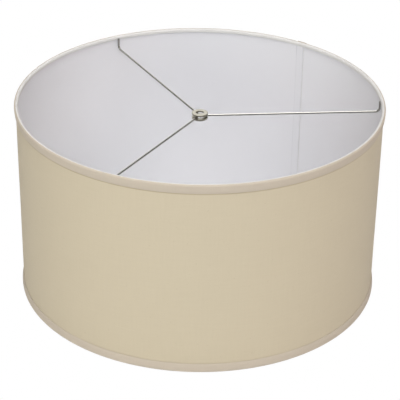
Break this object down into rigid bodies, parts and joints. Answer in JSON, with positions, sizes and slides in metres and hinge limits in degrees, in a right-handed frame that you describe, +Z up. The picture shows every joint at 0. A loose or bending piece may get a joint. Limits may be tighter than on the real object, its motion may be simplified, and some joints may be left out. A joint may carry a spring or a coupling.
{
  "type": "lamp shade",
  "caption": "Straight drum lamp shade of beige linen on a white liner, with taped rims over wire rings and a wire spider that holds a washer hub.",
  "frame": {"origin": "centre of the circle that the bottom rim stands on", "axes": "+Z up along the drum's axis, +X and +Y across it; the right spider arm points 1.6 degrees from +X towards +Y"},
  "size_m": [0.508, 0.508, 0.2794],
  "materials": {
    "white_liner": "white satin sheet",
    "beige_linen": "plain-woven beige linen",
    "adhesive_tape": "double-sided tape",
    "ring_wire": "white-coated steel wire",
    "linen_trim": "plain-woven linen tape",
    "white_binding": "white woven tape",
    "nickel_wire": "bright nickel plate",
    "nickel_washer": "nickel plate, slightly worn"
  },
  "bodies": {
    "root": {"liner_panel": "white_liner", "linen_cover": "beige_linen", "seam_tape": "adhesive_tape", "top_ring": "ring_wire", "bottom_ring": "ring_wire", "top_trim_band": "linen_trim", "bottom_trim_band": "linen_trim", "top_rim_binding": "white_binding", "bottom_rim_binding": "white_binding", "spider_arm_right": "nickel_wire", "spider_arm_back": "nickel_wire", "spider_arm_front": "nickel_wire", "hub_upper_washer": "nickel_washer", "hub_lower_washer": "nickel_washer"}
  },
  "joints": []
}
